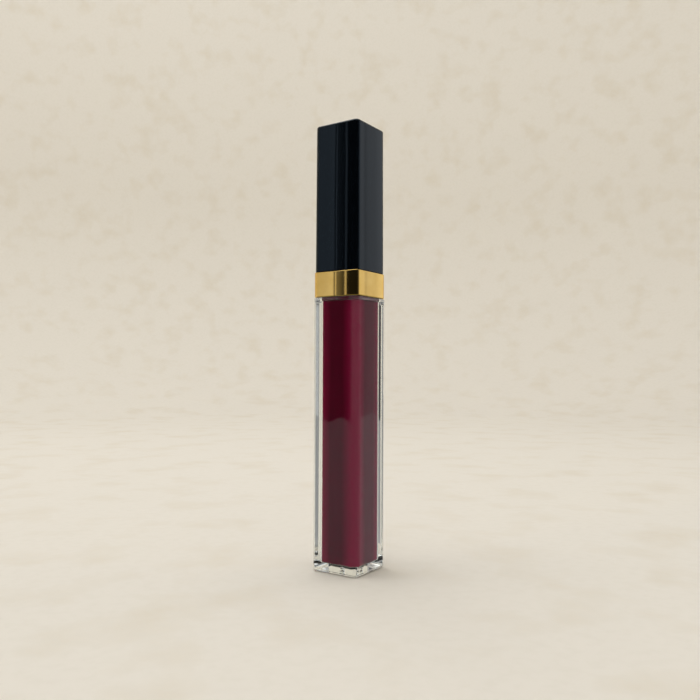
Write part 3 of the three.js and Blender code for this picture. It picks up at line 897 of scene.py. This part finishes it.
def flock_tree():
    """Geometry nodes that plant short tapered fibres all over a surface, leaning unevenly."""
    tree = bpy.data.node_groups.new("flock_pile", "GeometryNodeTree")
    tree.interface.new_socket("Geometry", in_out="INPUT", socket_type="NodeSocketGeometry")
    for name in ("Fibres per square metre", "Fibre length", "Fibre radius"):
        tree.interface.new_socket(name, in_out="INPUT", socket_type="NodeSocketFloat")
    tree.interface.new_socket("Material", in_out="INPUT", socket_type="NodeSocketMaterial")
    tree.interface.new_socket("Geometry", in_out="OUTPUT", socket_type="NodeSocketGeometry")
    given = tree.nodes.new("NodeGroupInput").outputs
    points = add_node(
        tree,
        "GeometryNodeDistributePointsOnFaces",
        {"distribute_method": "RANDOM"},
        {"Seed": 7},
        Mesh=given["Geometry"],
        Density=given["Fibres per square metre"],
    )
    fibre = add_node(
        tree,
        "GeometryNodeMeshCone",
        {"fill_type": "NONE"},
        {"Vertices": 3, "Side Segments": 1, "Radius Top": 0.004 * MM},
        Radius_Bottom=given["Fibre radius"],
        Depth=given["Fibre length"],
    )
    upright = add_node(
        tree, "FunctionNodeAlignRotationToVector", {"axis": "Z"}, None, Vector=points.outputs["Normal"]
    )
    lean = add_node(
        tree,
        "FunctionNodeRandomValue",
        {"data_type": "FLOAT_VECTOR"},
        {0: (-0.45, -0.45, -3.0), 1: (0.45, 0.45, 3.0), "Seed": 11},
    )
    turned = add_node(
        tree,
        "FunctionNodeRotateRotation",
        {"rotation_space": "LOCAL"},
        None,
        Rotation=upright.outputs["Rotation"],
        Rotate_By=lean.outputs["Value"],
    )
    size = add_node(
        tree, "FunctionNodeRandomValue", {"data_type": "FLOAT"}, {2: 0.65, 3: 1.0, "Seed": 13}
    )
    planted = add_node(
        tree,
        "GeometryNodeInstanceOnPoints",
        Points=points.outputs["Points"],
        Instance=fibre.outputs["Mesh"],
        Rotation=turned.outputs["Rotation"],
        Scale=size.outputs[1],
    )
    together = add_node(tree, "GeometryNodeJoinGeometry")
    tree.links.new(given["Geometry"], together.inputs["Geometry"])
    tree.links.new(planted.outputs["Instances"], together.inputs["Geometry"])
    real = add_node(tree, "GeometryNodeRealizeInstances", Geometry=together.outputs["Geometry"])
    finish = add_node(
        tree,
        "GeometryNodeSetMaterial",
        Geometry=real.outputs["Geometry"],
        Material=given["Material"],
    )
    result = tree.nodes.new("NodeGroupOutput")
    tree.links.new(finish.outputs["Geometry"], result.inputs["Geometry"])
    return tree


def grown(piece, tree, values):
    """The piece with a geometry nodes tree applied, as a plain mesh."""
    modifier = piece.modifiers.new(tree.name, "NODES")
    modifier.node_group = tree
    items = tree.interface.items_tree
    sockets = {item.name: item.identifier for item in items if item.in_out == "INPUT"}
    for name, value in values.items():
        modifier[sockets[name]] = value
    data = bpy.data.meshes.new_from_object(piece.evaluated_get(bpy.context.evaluated_depsgraph_get()))
    piece.modifiers.remove(modifier)
    piece.data = data
    return piece


coat_outer = foot_rings(FIBRE_LENGTH, flock_high.z)
coat_inner = foot_rings(0.38 * MM, flock_high.z)
coat = closed_rings("applicator_flock", coat_outer + coat_inner[::-1])
grown(
    coat,
    flock_tree(),
    {
        "Fibres per square metre": FIBRES_PER_SQUARE_MM / MM**2,
        "Fibre length": FIBRE_LENGTH * 0.9,
        "Fibre radius": FIBRE_RADIUS,
        "Material": flock_nylon,
    },
)
placed(coat, "cap", "applicator_flock", flock_nylon)

# ---- Studio ------------------------------------------------------------------------------------
# A round cove of pale paper, lit from above. Curved cards round the tube, which only mirroring or
# clear surfaces see, stand for the room: dark on the camera's side, paler to the right and left.

COVE_RADIUS = 0.9
COVE_BEND = 0.3
COVE_HEIGHT = 1.3
COVE_FLOOR = -0.05 * MM  # a hair under the tube, which stands on the high spots of both
COVE_STEPS = 12


def open_surface(name, rows, loop):
    """A sheet through rows of points, joined round when loop is set."""
    mesh = bmesh.new()
    grid = [[mesh.verts.new(p) for p in row] for row in rows]
    for lower, upper in zip(grid, grid[1:]):
        for j in range(len(lower) if loop else len(lower) - 1):
            k = (j + 1) % len(lower)
            mesh.faces.new((lower[j], lower[k], upper[k], upper[j]))
    data = bpy.data.meshes.new(name)
    mesh.to_mesh(data)
    mesh.free()
    data.shade_smooth()
    sheet = bpy.data.objects.new(name, data)
    bpy.context.scene.collection.objects.link(sheet)
    return sheet


cove_rows = [(0.0001, COVE_FLOOR), (COVE_RADIUS - COVE_BEND, COVE_FLOOR)]
for step in range(1, COVE_STEPS + 1):
    angle = math.pi / 2 * step / COVE_STEPS
    reach = COVE_RADIUS - COVE_BEND * (1 - math.sin(angle))
    cove_rows.append((reach, COVE_FLOOR + COVE_BEND * (1 - math.cos(angle))))
cove_rows.append((COVE_RADIUS, COVE_HEIGHT))
cove = open_surface("studio_cove", [round_ring(x, z, 0) for x, z in cove_rows], True)
# Seamless paper, matt and very faintly mottled.
paper, tree, shader = finish_of("studio_paper", Roughness=0.85)
cove.data.materials.append(paper)
specks = add_node(
    tree,
    "ShaderNodeMix",
    {"data_type": "RGBA"},
    {"B": srgb("e5e1d8")},
    A=blended(tree, "e3ddd1", "e9e5dd", ranged(tree, noise(tree, 25 * MM, 8), 0, 1, 0.3, 0.5)),
    Factor=ranged(tree, noise(tree, 3 * MM, 5), 0, 0.6, 0.45, 0.7),
)
tree.links.new(specks.outputs["Result"], shader.inputs["Base Color"])


def heading(degrees, distance, height):
    """A place at a heading round the tube, 0 along +Y and 90 along +X."""
    angle = math.radians(degrees)
    return Vector((math.sin(angle) * distance, math.cos(angle) * distance, height))


# The room, as cards in an upper and a lower part. Each band is a heading and the light from there.
RIGHT_BANDS = [
    (25, 0.9),
    (31, 0.95),
    (32.3, 0.75),
    (33.2, 0.74),
    (33.7, 0.72),
    (34.15, 0.6),
    (34.5, 0.8),
    (45, 0.8),
]
FRONT_BANDS = [
    (45, 0.8),
    (70, 0.8),
    (76, 0.06),
    (86, 0.06),
    (90, 0.6),
    (94, 0.02),
    (130, 0.012),
    (212, 0.015),
]
LEFT_BANDS = [
    (212, 0.012),
    (212.78, 0.02),
    (212.84, 0.85),
    (212.92, 0.1),
    (213.0, 0.9),
    (213.12, 0.1),
    (213.3, 0.06),
    (214.4, 0.2),
    (214.5, 0.95),
    (214.62, 0.25),
    (214.72, 0.06),
    (214.8, 0.4),
    (214.95, 0.7),
    (216, 0.62),
    (222, 0.6),
]
LOWER_RIGHT_BANDS = [(25, 0.4), (31.5, 0.32), (34.3, 0.2), (45, 0.2)]
LOWER_FRONT_BANDS = [(45, 0.3), (75, 0.03), (130, 0.01), (212, 0.01)]
THROUGH_BANDS = [(45, 0.55), (126, 0.55), (150, 0.1), (207, 0.02), (209, 0.65), (212, 0.65)]
LOWER_LEFT_BANDS = [(212, 0.01), (213.0, 0.05), (213.2, 0.02), (215.0, 0.03), (222, 0.1)]
FLOOR_BANDS = [(20, 0.38), (60, 0.35), (130, 0.25), (205, 0.25), (214, 0.28), (240, 0.4)]
CARD_DISTANCE = 0.45
CARD_STEPS = 160
CARD_BOTTOM = 0.011
CARD_SPLIT = 0.113
CARD_TOP = 0.3
CARD_WAVE = 0.006
FLOOR_CARD_NEAR = 0.012
FLOOR_CARD_HEIGHT = 0.0006
UPSTAND_DISTANCE = CARD_DISTANCE + 0.01
UPSTAND_TOP = 0.03


def card_edge(turn):
    """The place of a side card's lower edge at a heading, where it has soft waves."""
    wave = math.sin(math.radians(turn) * 90) * math.sin(math.radians(turn) * 37)
    return heading(turn, CARD_DISTANCE, CARD_BOTTOM + CARD_WAVE * wave)


def card_place(distance, height):
    """An edge of a card, as a place for each heading."""
    return lambda turn: heading(turn, distance, height)


def room_card(name, bands, one_edge, other_edge, mirrored=True, through=True):
    """A curved card of bands of brightness, seen in mirroring surfaces, through clear ones, or both."""
    start, end = bands[0][0], bands[-1][0]
    turns = [start + (end - start) * i / CARD_STEPS for i in range(CARD_STEPS + 1)]
    rows = [[edge(turn) for turn in turns] for edge in (one_edge, other_edge)]
    card = open_surface(name, rows, False)
    card.visible_camera = card.visible_diffuse = card.visible_shadow = False
    card.visible_glossy = mirrored
    card.visible_transmission = through
    material, tree, shader = finish_of(
        name, Base_Color=(0, 0, 0, 1), Specular_IOR_Level=0.0, Roughness=1.0, Emission_Strength=1.0
    )
    place = add_node(tree, "ShaderNodeTexCoord")
    axes = add_node(tree, "ShaderNodeSeparateXYZ", Vector=place.outputs["Object"])
    around = add_node(
        tree, "ShaderNodeMath", {"operation": "ARCTAN2"}, i0=axes.outputs["X"], i1=axes.outputs["Y"]
    )
    whole = add_node(
        tree,
        "ShaderNodeMath",
        {"operation": "WRAP"},
        {1: 2 * math.pi, 2: 0.0},
        i0=around.outputs["Value"],
    )
    share = ranged(tree, whole.outputs["Value"], 0, 1, math.radians(start), math.radians(end))
    ramp = add_node(tree, "ShaderNodeValToRGB", Fac=share)
    stops = ramp.color_ramp.elements
    for turn, level in bands[1:-1]:
        stops.new((turn - start) / (end - start))
    for stop, (turn, level) in zip(stops, bands):
        stop.color = (level, level, level, 1)
    tree.links.new(ramp.outputs["Color"], shader.inputs["Emission Color"])
    card.data.materials.append(material)


bottom = card_place(CARD_DISTANCE, CARD_BOTTOM)
split = card_place(CARD_DISTANCE, CARD_SPLIT)
top = card_place(CARD_DISTANCE, CARD_TOP)
room_card("right_card", RIGHT_BANDS, split, top)
room_card("front_card", FRONT_BANDS, split, top, through=False)
room_card("left_card", LEFT_BANDS, split, top)
room_card("lower_right_card", LOWER_RIGHT_BANDS, card_edge, split)
room_card("lower_front_card", LOWER_FRONT_BANDS, bottom, split, through=False)
room_card("through_card", THROUGH_BANDS, bottom, top, mirrored=False)
room_card("lower_left_card", LOWER_LEFT_BANDS, card_edge, split)
# The floor in front, dimmed, with an upstand behind the lower cards' edge.
near = card_place(FLOOR_CARD_NEAR, FLOOR_CARD_HEIGHT)
far = card_place(UPSTAND_DISTANCE, FLOOR_CARD_HEIGHT)
room_card("floor_card", FLOOR_BANDS, near, far)
room_card("floor_upstand", FLOOR_BANDS, far, card_place(UPSTAND_DISTANCE, UPSTAND_TOP))


def softbox(name, place, target, size, watts):
    """A square soft light at a place, facing a target."""
    light = bpy.data.lights.new(name, "AREA")
    light.shape = "SQUARE"
    light.size = size
    light.energy = watts
    light.color = srgb("fffdfa")[:3]
    lamp = bpy.data.objects.new(name, light)
    lamp.matrix_world = (target - place).to_track_quat("-Z", "Y").to_matrix().to_4x4()
    lamp.location = place
    bpy.context.scene.collection.objects.link(lamp)
    return lamp


centre = Vector((0, 0, (cad_box[0].z + cad_box[1].z) / 2))
softbox("top_softbox", Vector((-0.2, 0.0, 1.1)), centre, 0.9, 6.4)

world = bpy.data.worlds.new("room")
world.use_nodes = True
world.node_tree.nodes["Background"].inputs["Color"].default_value = srgb("f6f7f8")
world.node_tree.nodes["Background"].inputs["Strength"].default_value = 0.5
bpy.context.scene.world = world
bpy.context.scene.view_settings.view_transform = "Standard"
# Light turns many times inside the acrylic's corners before it leaves.
bpy.context.scene.cycles.glossy_bounces = 12
bpy.context.scene.cycles.max_bounces = 16

CAMERA_HEADING = math.radians(34)
CAMERA_DISTANCE = 188.3 * MM
CAMERA_HEIGHT = 51.3 * MM
CAMERA_ROLL = math.radians(0.25)

camera = bpy.data.objects.new("camera", bpy.data.cameras.new("camera"))
camera.data.lens = 37.3
camera.data.sensor_width = 36
camera.data.shift_x = 0.001
camera.data.shift_y = 0.03
place = Vector((math.sin(CAMERA_HEADING), -math.cos(CAMERA_HEADING), 0)) * CAMERA_DISTANCE
aim = -place
place.z = CAMERA_HEIGHT
camera.rotation_mode = "QUATERNION"
roll = Matrix.Rotation(CAMERA_ROLL, 3, "Z").to_quaternion()
camera.rotation_quaternion = aim.to_track_quat("-Z", "Y") @ roll
camera.location = place
bpy.context.scene.collection.objects.link(camera)
bpy.context.scene.camera = camera
